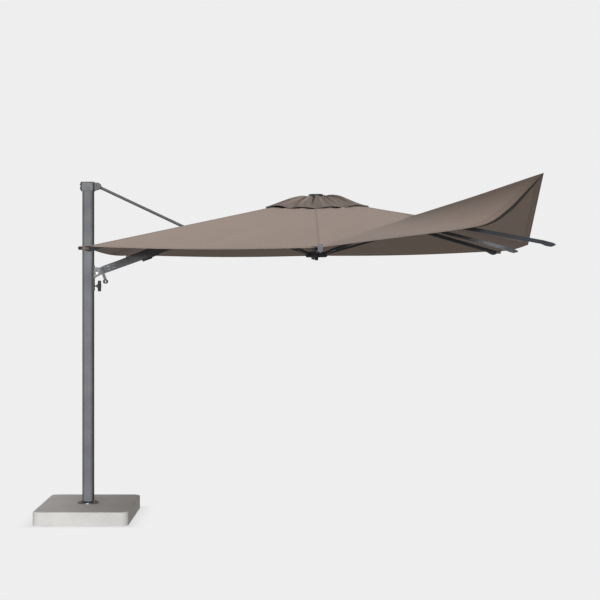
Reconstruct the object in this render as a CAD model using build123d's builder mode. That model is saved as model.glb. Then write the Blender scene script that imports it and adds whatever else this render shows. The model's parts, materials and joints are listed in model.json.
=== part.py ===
from build123d import *
import os
from math import asin, cos, degrees, radians, sin, sqrt, tan

# Cantilever parasol, millimetres, +Z up. The origin is on the ground under the mast's axis.
# The arm reaches out along +X, and the canopy is tilted a little about the Y axis.

# base
SLAB_X, SLAB_Y, SLAB_T = 675, 990, 97
SLAB_CORNER, SLAB_EDGE = 55, 10
FLANGE_R, FLANGE_T = 78, 8
SPIGOT_R, SPIGOT_WALL, SPIGOT_TOP = 24, 4, 420
BEARING_T = 10
BOLT_CIRCLE_R, BOLT_HEAD_R, BOLT_HEAD_H = 69, 8, 5

# mast: a box tube with a track along its +X face
MAST_X, MAST_Y, WALL = 78, 90, 3
MAST_BOTTOM = SLAB_T + FLANGE_T + BEARING_T
MAST_TOP = 2436
TRACK_WEB_X, TRACK_DEPTH, TRACK_W, SLOT_W = 26, 7, 34, 16
GROOVE_X, GROOVE_W, GROOVE_D = 27.5, 4, 1.2
RUN = 0.06

# linkage in the XZ plane: brace hinge on the mast, arm foot on the slider, and the joint between them
HINGE_X = 67
BRACE_TOP_Z, FOOT_Z = 2414, 1778
JOINT_Z = (BRACE_TOP_Z + FOOT_Z) / 2
BRACE_SLOPE = 25.2
JOINT_X = HINGE_X + (BRACE_TOP_Z - JOINT_Z) / tan(radians(BRACE_SLOPE))

# arm
ARM_H, ARM_W, ARM_WALL = 55, 44, 3
ARM_START, ARM_KNEE, ARM_END = (122, 1807), (600, 1978), (1452, 2199.5)
TIP_X, TIP_Z = 1515, 2216
CRANK_X, CRANK_Z = 102, 1814

# canopy frame
HUB_X, HUB_Z, TILT = 1665, 2300, 0.6
PIVOT_R = 65
MID_SLOPE, CORNER_SLOPE = 15, 10
STRUT_ANGLE, RUNNER_DROP = 15, 382
STRUT_L = RUNNER_DROP / 2 / sin(radians(STRUT_ANGLE))
RIB_H, RIB_W, RIB_WALL = 25, 18, 1.5
TONGUE_W, TUBE_START = 12, 35
MID_TUBE_END, CORNER_TUBE_END, TIP_L = 1360, 1990, 100
PIN_R = 4
BAR_T, BAR_H, BAR_GAP = 4, 16, 19.4

# fabric
HALF, INNER_HALF, FABRIC_T, FABRIC_UP = 1505, 240, 1.2, 18
SLIT_FROM, SLIT_TO, SLIT_HALF_W = -1080, -790, 48
RIBS = {
    "near_left": 225,
    "near": 270,
    "near_right": 315,
    "right": 0,
    "far_right": 45,
    "far": 90,
    "far_left": 135,
}

os.makedirs("parts", exist_ok=True)


def save(part, label):
    """Label a finished piece and write its STEP file."""
    part.label = label
    export_step(part, f"parts/{label}.step")


# ---------------------------------------------------------------- base

with BuildPart() as base_slab:
    with BuildSketch():
        RectangleRounded(SLAB_X, SLAB_Y, SLAB_CORNER)
    extrude(amount=SLAB_T)
    fillet(base_slab.faces().sort_by(Axis.Z)[-1].outer_wire().edges(), SLAB_EDGE)
save(base_slab.part, "base_slab")

with BuildPart() as base_spigot:
    with BuildSketch(Plane.XY.offset(SLAB_T)):
        Circle(FLANGE_R)
        with PolarLocations(BOLT_CIRCLE_R, 4, 45):
            Circle(BOLT_HEAD_R / 2 + 0.3, mode=Mode.SUBTRACT)
    extrude(amount=FLANGE_T)
    with BuildSketch(Plane.XY.offset(SLAB_T)):
        Circle(SPIGOT_R)
    extrude(amount=SPIGOT_TOP - SLAB_T)
    with BuildSketch(Plane.XY.offset(SLAB_T)):
        Circle(SPIGOT_R - SPIGOT_WALL)
    extrude(amount=SPIGOT_TOP - SLAB_T, mode=Mode.SUBTRACT)
save(base_spigot.part, "base_spigot")

with BuildPart() as base_bolts:
    with BuildSketch(Plane.XY.offset(SLAB_T + FLANGE_T)):
        with PolarLocations(BOLT_CIRCLE_R, 4, 45):
            RegularPolygon(BOLT_HEAD_R, 6)
    extrude(amount=BOLT_HEAD_H)
    with BuildSketch(Plane.XY.offset(SLAB_T)):
        with PolarLocations(BOLT_CIRCLE_R, 4, 45):
            Circle(BOLT_HEAD_R / 2)
    extrude(amount=FLANGE_T)
save(base_bolts.part, "base_bolts")

with BuildPart() as swivel_ring:
    with BuildSketch(Plane.XY.offset(SLAB_T + FLANGE_T)):
        Circle(SPIGOT_R + 13)
        Circle(SPIGOT_R + 0.5, mode=Mode.SUBTRACT)
    extrude(amount=BEARING_T)
save(swivel_ring.part, "swivel_ring")

# ---------------------------------------------------------------- mast

CHAMBER_LEFT = -MAST_X / 2 + WALL
CHAMBER_Y = MAST_Y - 2 * WALL
TRACK_X = TRACK_WEB_X + WALL

with BuildPart() as mast_tube:
    with BuildSketch(Plane.XY.offset(MAST_BOTTOM)):
        RectangleRounded(MAST_X, MAST_Y, 6)
        with Locations(((CHAMBER_LEFT + TRACK_WEB_X) / 2, 0)):
            Rectangle(TRACK_WEB_X - CHAMBER_LEFT, CHAMBER_Y, mode=Mode.SUBTRACT)
        with Locations((TRACK_X + TRACK_DEPTH / 2, 0)):
            Rectangle(TRACK_DEPTH, TRACK_W, mode=Mode.SUBTRACT)
        with Locations((MAST_X / 2, 0)):
            Rectangle(2 * WALL + 1, SLOT_W, mode=Mode.SUBTRACT)
        with Locations((GROOVE_X, MAST_Y / 2), (GROOVE_X, -MAST_Y / 2)):
            Rectangle(GROOVE_W, 2 * GROOVE_D, mode=Mode.SUBTRACT)
    extrude(amount=MAST_TOP - MAST_BOTTOM)
save(mast_tube.part, "mast_tube")

with BuildPart() as mast_bushes:
    for bush_z, bush_h in ((MAST_BOTTOM, 60), (SPIGOT_TOP - 60, 50)):
        with BuildSketch(Plane.XY.offset(bush_z)):
            with Locations(((CHAMBER_LEFT + TRACK_WEB_X) / 2, 0)):
                Rectangle(TRACK_WEB_X - CHAMBER_LEFT - 0.1, CHAMBER_Y - 0.1)
            Circle(SPIGOT_R + RUN, mode=Mode.SUBTRACT)
        extrude(amount=bush_h)
save(mast_bushes.part, "mast_bushes")

HEAD_BOTTOM, HEAD_TOP, EAR_R, EAR_GAP, EAR_T = 2379, 2445, 26, 32, 7
HEAD_LEFT, HEAD_RIGHT, HEAD_Y = -52, 47, 100

with BuildPart() as mast_head:
    with BuildSketch(Plane.XY.offset(HEAD_BOTTOM)):
        with Locations(((HEAD_LEFT + HEAD_RIGHT) / 2, 0)):
            RectangleRounded(HEAD_RIGHT - HEAD_LEFT, HEAD_Y, 10)
    extrude(amount=HEAD_TOP - HEAD_BOTTOM)
    fillet(mast_head.faces().sort_by(Axis.Z)[-1].edges(), 6)
    with BuildSketch(Plane.XZ):
        with BuildLine():
            Polyline(
                (HEAD_RIGHT - 4, HEAD_BOTTOM + 2),
                (HINGE_X, BRACE_TOP_Z - EAR_R),
                (HINGE_X, BRACE_TOP_Z + EAR_R),
                (HEAD_RIGHT - 4, HEAD_TOP - 5),
                close=True,
            )
        make_face()
        with Locations((HINGE_X, BRACE_TOP_Z)):
            Circle(EAR_R)
    extrude(amount=EAR_GAP / 2 + EAR_T, both=True)
    with BuildSketch(Plane.XZ):
        with Locations((HEAD_RIGHT + 60, BRACE_TOP_Z)):
            Rectangle(120, 3 * EAR_R)
    extrude(amount=EAR_GAP / 2, both=True, mode=Mode.SUBTRACT)
    with BuildSketch(Plane.XZ):
        with Locations((HINGE_X, BRACE_TOP_Z)):
            Circle(6.02)
    extrude(amount=HEAD_Y, both=True, mode=Mode.SUBTRACT)
    with BuildSketch(Plane.XY.offset(HEAD_BOTTOM)):
        Rectangle(MAST_X + 0.4, MAST_Y + 0.4)
    extrude(amount=MAST_TOP + 0.2 - HEAD_BOTTOM, mode=Mode.SUBTRACT)
save(mast_head.part, "mast_head")


with BuildPart() as head_screws:
    with BuildSketch(Plane.YZ.offset(HEAD_LEFT)):
        with Locations((-24, 2398), (24, 2398), (-24, 2426), (24, 2426)):
            RegularPolygon(7, 6)
    extrude(amount=-6)
save(head_screws.part, "head_screws")

# ---------------------------------------------------------------- brace

BRACE_R, BRACE_CUT = 10.5, 34
BRACE_L = sqrt((JOINT_X - HINGE_X) ** 2 + (BRACE_TOP_Z - JOINT_Z) ** 2)
BRACE_DIR = Vector((JOINT_X - HINGE_X) / BRACE_L, 0, (JOINT_Z - BRACE_TOP_Z) / BRACE_L)
BRACE_FROM = Vector(HINGE_X, 0, BRACE_TOP_Z) + BRACE_DIR * BRACE_CUT

with BuildPart() as brace_tube:
    with BuildSketch(Plane(origin=BRACE_FROM, x_dir=(0, 1, 0), z_dir=BRACE_DIR)):
        Circle(BRACE_R)
        Circle(BRACE_R - 2, mode=Mode.SUBTRACT)
    extrude(amount=BRACE_L - 2 * BRACE_CUT)
save(brace_tube.part, "brace_tube")

with BuildPart() as brace_eyes:
    for eye, half_w, inward in (
        (Vector(HINGE_X, 0, BRACE_TOP_Z), 15.5, 1),
        (Vector(JOINT_X, 0, JOINT_Z), ARM_W / 2 - 0.5, -1),
    ):
        with BuildSketch(Plane(origin=eye, x_dir=(1, 0, 0), z_dir=(0, -1, 0))):
            Circle(15)
        extrude(amount=half_w, both=True)
        with BuildSketch(Plane(origin=eye, x_dir=(0, 1, 0), z_dir=BRACE_DIR * inward)):
            Circle(BRACE_R + 1)
        extrude(amount=BRACE_CUT)
        with BuildSketch(Plane(origin=eye, x_dir=(1, 0, 0), z_dir=(0, -1, 0))):
            Circle(6 + RUN)
        extrude(amount=half_w, both=True, mode=Mode.SUBTRACT)
save(brace_eyes.part, "brace_eyes")

# ---------------------------------------------------------------- arm


def along_path(points, half_height):
    """The outline of a bent bar of the given half height along three points."""
    def unit(a, b):
        length = sqrt((b[0] - a[0]) ** 2 + (b[1] - a[1]) ** 2)
        return ((b[0] - a[0]) / length, (b[1] - a[1]) / length)

    first, second = unit(points[0], points[1]), unit(points[1], points[2])
    middle = ((first[0] + second[0]) / 2, (first[1] + second[1]) / 2)
    square = middle[0] ** 2 + middle[1] ** 2
    bisector = (middle[0] / square, middle[1] / square)
    sides = []
    for side in (half_height, -half_height):
        row = []
        for point, run in zip(points, (first, bisector, second)):
            row.append((point[0] - run[1] * side, point[1] + run[0] * side))
        sides.append(row)
    return sides[0] + sides[1][::-1]


with BuildPart() as arm_tube:
    with BuildSketch(Plane.XZ):
        with BuildLine():
            Polyline(*along_path((ARM_START, ARM_KNEE, ARM_END), ARM_H / 2), close=True)
        make_face()
    extrude(amount=ARM_W / 2, both=True)
    with BuildSketch(Plane.XZ):
        with BuildLine():
            Polyline(*along_path((ARM_START, ARM_KNEE, ARM_END), ARM_H / 2 - ARM_WALL), close=True)
        make_face()
    extrude(amount=ARM_W / 2 - ARM_WALL, both=True, mode=Mode.SUBTRACT)
save(arm_tube.part, "arm_tube")

ARM_FIRST_SLOPE = (ARM_KNEE[1] - ARM_START[1]) / (ARM_KNEE[0] - ARM_START[0])
ARM_LAST_SLOPE = (ARM_END[1] - ARM_KNEE[1]) / (ARM_END[0] - ARM_KNEE[0])
ARM_START_EDGE = along_path((ARM_START, ARM_KNEE, ARM_END), ARM_H / 2)[0]
ARM_START_LOW = along_path((ARM_START, ARM_KNEE, ARM_END), ARM_H / 2)[-1]
ARM_TIP_EDGE = along_path((ARM_START, ARM_KNEE, ARM_END), ARM_H / 2)[2]
ARM_TIP_LOW = along_path((ARM_START, ARM_KNEE, ARM_END), ARM_H / 2)[3]
DRUM_R, DRUM_HALF = 13, 15
FOLDED_TURN, FOOT_FLAT = 60, 25.5

with BuildPart() as arm_foot:
    with BuildSketch(Plane.XZ):
        with BuildLine():
            Polyline(
                ARM_START_EDGE,
                (CRANK_X - 12, CRANK_Z + 12),
                (HINGE_X - 14, FOOT_Z + 12),
                (HINGE_X - 4, FOOT_Z - 19),
                ARM_START_LOW,
                close=True,
            )
        make_face()
        with Locations((HINGE_X, FOOT_Z)):
            Circle(19)
        with Locations((CRANK_X, CRANK_Z)):
            Circle(18)
        with BuildLine():
            Polyline(
                ARM_START_EDGE,
                (ARM_START_EDGE[0] + 60, ARM_START_EDGE[1] + 60 * ARM_FIRST_SLOPE),
                (ARM_START_LOW[0] + 60, ARM_START_LOW[1] + 60 * ARM_FIRST_SLOPE),
                ARM_START_LOW,
                close=True,
            )
        make_face(mode=Mode.SUBTRACT)
    extrude(amount=ARM_W / 2, both=True)
    with BuildSketch(Plane.XZ):
        with Locations(Location((HINGE_X, FOOT_Z), 90 - FOLDED_TURN)):
            with Locations((30, FOOT_FLAT + 20)):
                Rectangle(70, 40)
    extrude(amount=ARM_W, both=True, mode=Mode.SUBTRACT)
    with BuildSketch(Plane.XZ):
        with Locations((CRANK_X, CRANK_Z)):
            Circle(DRUM_R + 2)
    extrude(amount=DRUM_HALF + 1, both=True, mode=Mode.SUBTRACT)
    with BuildSketch(Plane.XZ):
        with Locations((CRANK_X, CRANK_Z), (HINGE_X, FOOT_Z)):
            Circle(6 + RUN)
    extrude(amount=ARM_W, both=True, mode=Mode.SUBTRACT)
save(arm_foot.part, "arm_foot")

RAIL_SLOPE, RAIL_START_X, RAIL_END_X, RAIL_W = 0.396, 217, 690, 26
TOP_AT_ZERO = ARM_START_EDGE[1] - ARM_START_EDGE[0] * ARM_FIRST_SLOPE
KNEE_TOP = along_path((ARM_START, ARM_KNEE, ARM_END), ARM_H / 2)[1]
RAIL_END_TOP = TOP_AT_ZERO + RAIL_START_X * ARM_FIRST_SLOPE + (RAIL_END_X - RAIL_START_X) * RAIL_SLOPE

with BuildPart() as arm_rail:
    with BuildSketch(Plane.XZ):
        with BuildLine():
            Polyline(
                (RAIL_START_X, TOP_AT_ZERO + RAIL_START_X * ARM_FIRST_SLOPE),
                KNEE_TOP,
                (RAIL_END_X, KNEE_TOP[1] + (RAIL_END_X - KNEE_TOP[0]) * ARM_LAST_SLOPE),
                (RAIL_END_X, RAIL_END_TOP + 22),
                (RAIL_END_X - 90, RAIL_END_TOP - 90 * RAIL_SLOPE),
                close=True,
            )
        make_face()
    extrude(amount=RAIL_W / 2, both=True)
save(arm_rail.part, "arm_rail")

CHEEK_T = 5
CHEEK_LOW_Z = KNEE_TOP[1] + (JOINT_X - KNEE_TOP[0]) * ARM_LAST_SLOPE - 40

with BuildPart() as brace_bracket:
    for side in (1, -1):
        with BuildSketch(Plane.XZ.offset(side * ARM_W / 2)):
            with BuildLine():
                Polyline(
                    (JOINT_X - 60, CHEEK_LOW_Z - 14),
                    (JOINT_X + 60, CHEEK_LOW_Z + 14),
                    (JOINT_X + 14, JOINT_Z + 8),
                    (JOINT_X - 14, JOINT_Z + 8),
                    close=True,
                )
            make_face()
            with Locations((JOINT_X, JOINT_Z)):
                Circle(17)
                Circle(6.02, mode=Mode.SUBTRACT)
        extrude(amount=side * CHEEK_T)
save(brace_bracket.part, "brace_bracket")

with BuildPart() as arm_tip:
    with BuildSketch(Plane.XZ):
        with BuildLine():
            Polyline(
                ARM_TIP_EDGE,
                (TIP_X - 16, TIP_Z + 17),
                (TIP_X, TIP_Z - 20),
                ARM_TIP_LOW,
                close=True,
            )
        make_face()
        with Locations((TIP_X, TIP_Z)):
            Circle(20)
            Circle(6 + RUN, mode=Mode.SUBTRACT)
    extrude(amount=17, both=True)
save(arm_tip.part, "arm_tip")

# ---------------------------------------------------------------- slider, lock knob and crank

CARRIAGE_LOW, CARRIAGE_HIGH, PLATE_T = 1650, 1835, 5
NOTCH_Z = 1785
PLATE_X = MAST_X / 2 + 0.5
KNOB_Z, KNOB_R, KNOB_X, KNOB_T, STEM_R = 1684, 44, 72, 19, 5
SWEEP_R = 43

with BuildPart() as slider_carriage:
    with BuildSketch(Plane.XY.offset(CARRIAGE_LOW)):
        with Locations((PLATE_X + PLATE_T / 2, 0)):
            Rectangle(PLATE_T, 60)
        with Locations(((TRACK_X + 3 + PLATE_X) / 2 + 0.5, 0)):
            Rectangle(PLATE_X - TRACK_X - 2, SLOT_W - 2)
        with Locations((TRACK_X + TRACK_DEPTH / 2, 0)):
            Rectangle(TRACK_DEPTH - 1, TRACK_W - 1)
    extrude(amount=CARRIAGE_HIGH - CARRIAGE_LOW)
    with BuildSketch(Plane.XY.offset(NOTCH_Z)):
        with Locations((PLATE_X + PLATE_T / 2, 0)):
            Rectangle(PLATE_T, ARM_W + 2)
    extrude(amount=CARRIAGE_HIGH - NOTCH_Z, mode=Mode.SUBTRACT)
    with BuildSketch(Plane.YZ.offset(TRACK_X)):
        with Locations((0, KNOB_Z)):
            Circle(STEM_R + RUN)
    extrude(amount=30, mode=Mode.SUBTRACT)
save(slider_carriage.part, "slider_carriage")

with BuildPart() as slider_bracket:
    for side in (1, -1):
        with BuildSketch(Plane.XZ.offset(side * (ARM_W / 2 + 2))):
            with Locations((HINGE_X, FOOT_Z)):
                Circle(SWEEP_R)
            with BuildLine():
                Polyline(
                    (PLATE_X + PLATE_T, 1744),
                    (97, 1772),
                    (90, 1830),
                    (PLATE_X + PLATE_T, 1830),
                    close=True,
                )
            make_face(mode=Mode.INTERSECT)
            with Locations((HINGE_X, FOOT_Z)):
                Circle(6.02, mode=Mode.SUBTRACT)
        extrude(amount=side * 6)
save(slider_bracket.part, "slider_bracket")

with BuildPart() as lock_knob:
    with BuildSketch(Plane.YZ.offset(KNOB_X)):
        with Locations((0, KNOB_Z)):
            Circle(KNOB_R - 6)
            with PolarLocations(KNOB_R - 12, 6):
                Circle(12)
    extrude(amount=KNOB_T)
    fillet(lock_knob.faces().filter_by(Axis.X).edges(), 3)
    with BuildSketch(Plane.YZ.offset(KNOB_X - 12)):
        with Locations((0, KNOB_Z)):
            Circle(11)
    extrude(amount=12)
    with BuildSketch(Plane.YZ.offset(TRACK_X + 1)):
        with Locations((0, KNOB_Z)):
            Circle(STEM_R)
    extrude(amount=KNOB_X - TRACK_X - 1)
save(lock_knob.part, "lock_knob")

LEVER_NEAR, LEVER_T, GRIP_L = 56, 8, 66
LEVER_END = (136, 1717)
GRIP_R, GRIP_PIN_R, GRIP_HOLE_R = 15.5, 11, 8

with BuildPart() as winch_drum:
    with BuildSketch(Plane.XZ):
        with Locations((CRANK_X, CRANK_Z)):
            Circle(DRUM_R - 3)
    extrude(amount=DRUM_HALF, both=True)
    for flange_y in (-DRUM_HALF, DRUM_HALF - 2):
        with BuildSketch(Plane.XZ.offset(flange_y)):
            with Locations((CRANK_X, CRANK_Z)):
                Circle(DRUM_R)
        extrude(amount=2)
    with BuildSketch(Plane.XZ.offset(-ARM_W / 2 + 2)):
        with Locations((CRANK_X, CRANK_Z)):
            Circle(6)
    extrude(amount=ARM_W / 2 - 2 + LEVER_NEAR)
save(winch_drum.part, "winch_drum")

with BuildPart() as crank_lever:
    with BuildSketch(Plane.XZ.offset(LEVER_NEAR)):
        with Locations((CRANK_X, CRANK_Z)):
            Circle(10)
        with Locations(LEVER_END):
            Circle(GRIP_R)
        make_hull()
        with Locations(((CRANK_X + LEVER_END[0]) / 2 - 16, (CRANK_Z + LEVER_END[1]) / 2 - 6)):
            Rectangle(14, 90, rotation=19, mode=Mode.SUBTRACT)
        with Locations(((CRANK_X + LEVER_END[0]) / 2 + 16, (CRANK_Z + LEVER_END[1]) / 2 + 6)):
            Rectangle(14, 90, rotation=19, mode=Mode.SUBTRACT)
        with Locations(LEVER_END):
            Circle(GRIP_HOLE_R, mode=Mode.SUBTRACT)
    extrude(amount=LEVER_T)
    with BuildSketch(Plane.XZ.offset(LEVER_NEAR + LEVER_T)):
        with Locations(LEVER_END):
            Circle(GRIP_PIN_R)
            Circle(GRIP_HOLE_R, mode=Mode.SUBTRACT)
    extrude(amount=GRIP_L)
save(crank_lever.part, "crank_lever")

with BuildPart() as crank_grip:
    with BuildSketch(Plane.XZ.offset(LEVER_NEAR + LEVER_T + 1)):
        with Locations(LEVER_END):
            Circle(GRIP_R)
            Circle(GRIP_PIN_R + RUN, mode=Mode.SUBTRACT)
    extrude(amount=GRIP_L - 2)
    fillet(crank_grip.edges().filter_by(GeomType.CIRCLE).group_by(SortBy.RADIUS)[-1], 2.5)
save(crank_grip.part, "crank_grip")

# ---------------------------------------------------------------- pins along Y, with a head at each end

PINS = {
    "head_pin": (HINGE_X, BRACE_TOP_Z, EAR_GAP / 2 + EAR_T + 0.1, 10),
    "bracket_pin": (JOINT_X, JOINT_Z, ARM_W / 2 + CHEEK_T + 0.1, 10),
    "slider_pin": (HINGE_X, FOOT_Z, ARM_W / 2 + 8.1, 9),
}
for name, (pin_x, pin_z, half_length, head_r) in PINS.items():
    with BuildPart() as pin:
        with BuildSketch(Plane.XZ):
            with Locations((pin_x, pin_z)):
                Circle(6)
        extrude(amount=half_length, both=True)
        for side in (1, -1):
            with BuildSketch(Plane.XZ.offset(side * half_length)):
                with Locations((pin_x, pin_z)):
                    Circle(head_r)
            extrude(amount=side * 4)
    save(pin.part, name)

# ---------------------------------------------------------------- hub, in its tilted frame

COS_T, SIN_T = cos(radians(TILT)), sin(radians(TILT))
UP = Vector(-SIN_T, 0, COS_T)
HUB = Vector(HUB_X, 0, HUB_Z)


def radial(azimuth):
    """The tilted direction that leaves the hub at this azimuth."""
    c, s = cos(radians(azimuth)), sin(radians(azimuth))
    return Vector(c * COS_T, s, c * SIN_T)


def rib_plane(azimuth):
    """Local x runs outwards from the hub's axis and local y runs up."""
    out = radial(azimuth)
    return Plane(origin=HUB, x_dir=out, z_dir=out.cross(UP))


def disc_plane(height):
    return Plane(origin=HUB + UP * height, x_dir=radial(0), z_dir=UP)


HUB_R, HUB_LOW, HUB_HIGH, SLOT_R, TONGUE_GAP = 82, -16, 20, 50, 0.5
HUB_ARM_OUT, HUB_ARM_IN, HUB_BORE_R = 25, 19, 12
PULLEY_X, PULLEY_Z, PULLEY_R = -18, -46, 18
RUNNER_R, RUNNER_LOW, RUNNER_HIGH = 80, -24, 14

with BuildPart() as top_hub:
    with BuildSketch(disc_plane(HUB_LOW)):
        Circle(HUB_R)
    extrude(amount=HUB_HIGH - HUB_LOW)
    chamfer(top_hub.edges().filter_by(GeomType.CIRCLE).sort_by(Axis.Z)[-1], 5)
    for azimuth in RIBS.values():
        with BuildSketch(rib_plane(azimuth)):
            with Locations(((SLOT_R + HUB_R + 10) / 2, -8)):
                Rectangle(HUB_R + 10 - SLOT_R, 43)
        extrude(amount=TONGUE_W / 2 + TONGUE_GAP, both=True, mode=Mode.SUBTRACT)
        with BuildSketch(rib_plane(azimuth)):
            with Locations((PIVOT_R, 0)):
                Circle(PIN_R + 0.02)
        extrude(amount=16.02, both=True, mode=Mode.SUBTRACT)
    with BuildSketch(disc_plane(HUB_LOW)):
        Circle(HUB_BORE_R)
    extrude(amount=HUB_HIGH - HUB_LOW, mode=Mode.SUBTRACT)
save(top_hub.part, "top_hub")

TIP = rib_plane(0).to_local_coords(Vector(TIP_X, 0, TIP_Z))

with BuildPart() as hub_bracket:
    for side in (1, -1):
        with BuildSketch(rib_plane(0).offset(side * HUB_ARM_IN)):
            with BuildLine():
                Polyline(
                    (20, HUB_LOW),
                    (8, PULLEY_Z - 14),
                    (PULLEY_X - 14, PULLEY_Z - 16),
                    (TIP.X, TIP.Y - 20),
                    (TIP.X - 8, TIP.Y + 18),
                    (-66, HUB_LOW),
                    close=True,
                )
            make_face()
            with Locations((TIP.X, TIP.Y)):
                Circle(20)
            with Locations((TIP.X, TIP.Y)):
                Circle(6.02, mode=Mode.SUBTRACT)
            with Locations((PULLEY_X, PULLEY_Z)):
                Circle(5.02, mode=Mode.SUBTRACT)
        extrude(amount=side * (HUB_ARM_OUT - HUB_ARM_IN))
save(hub_bracket.part, "hub_bracket")

with BuildPart() as hub_pulley:
    with BuildSketch(rib_plane(0)):
        with Locations((PULLEY_X, PULLEY_Z)):
            Circle(PULLEY_R)
            Circle(5 + RUN, mode=Mode.SUBTRACT)
    extrude(amount=7, both=True)
    with BuildSketch(rib_plane(0)):
        with Locations((PULLEY_X, PULLEY_Z)):
            Circle(PULLEY_R + 1)
            Circle(PULLEY_R - 4, mode=Mode.SUBTRACT)
    extrude(amount=3, both=True, mode=Mode.SUBTRACT)
save(hub_pulley.part, "hub_pulley")

with BuildPart() as hub_pins:
    for azimuth in RIBS.values():
        with BuildSketch(rib_plane(azimuth)):
            with Locations((PIVOT_R, 0)):
                Circle(PIN_R)
        extrude(amount=15.5, both=True)
    for pin_at, pin_r in (((TIP.X, TIP.Y), 6), ((PULLEY_X, PULLEY_Z), 5)):
        with BuildSketch(rib_plane(0)):
            with Locations(pin_at):
                Circle(pin_r)
        extrude(amount=HUB_ARM_OUT + 1, both=True)
save(hub_pins.part, "hub_pins")

with BuildPart() as crown_cap:
    with BuildSketch(disc_plane(HUB_HIGH)):
        Circle(30)
    extrude(amount=18)
    with BuildSketch(disc_plane(HUB_HIGH + 18)):
        Circle(55)
    extrude(amount=18, taper=12)
    fillet(crown_cap.edges().filter_by(GeomType.CIRCLE).sort_by(Axis.Z)[-1], 5)
save(crown_cap.part, "crown_cap")

RUNNER_UP = -RUNNER_DROP

with BuildPart() as runner:
    with BuildSketch(disc_plane(RUNNER_UP + RUNNER_LOW)):
        Circle(RUNNER_R)
    extrude(amount=RUNNER_HIGH - RUNNER_LOW)
    chamfer(runner.edges().filter_by(GeomType.CIRCLE).sort_by(Axis.Z)[0], 8)
    for azimuth in RIBS.values():
        with BuildSketch(rib_plane(azimuth)):
            with Locations(((SLOT_R + RUNNER_R + 10) / 2, RUNNER_UP + 4)):
                Rectangle(RUNNER_R + 10 - SLOT_R, 31)
        extrude(amount=TONGUE_W / 2 + TONGUE_GAP, both=True, mode=Mode.SUBTRACT)
        with BuildSketch(rib_plane(azimuth)):
            with Locations((PIVOT_R, RUNNER_UP)):
                Circle(PIN_R + 0.02)
        extrude(amount=16.02, both=True, mode=Mode.SUBTRACT)
    with BuildSketch(disc_plane(RUNNER_UP + RUNNER_LOW)):
        Circle(14)
    extrude(amount=-22, taper=6)
    with BuildSketch(disc_plane(RUNNER_UP)):
        Circle(HUB_BORE_R)
    extrude(amount=RUNNER_HIGH, mode=Mode.SUBTRACT)
save(runner.part, "runner")

with BuildPart() as runner_pins:
    for azimuth in RIBS.values():
        with BuildSketch(rib_plane(azimuth)):
            with Locations((PIVOT_R, RUNNER_UP)):
                Circle(PIN_R)
        extrude(amount=15.5, both=True)
save(runner_pins.part, "runner_pins")

# ---------------------------------------------------------------- ribs, tips and struts

STRUT_X = PIVOT_R + STRUT_L * cos(radians(STRUT_ANGLE))
STRUT_Y = -STRUT_L * sin(radians(STRUT_ANGLE))

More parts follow.
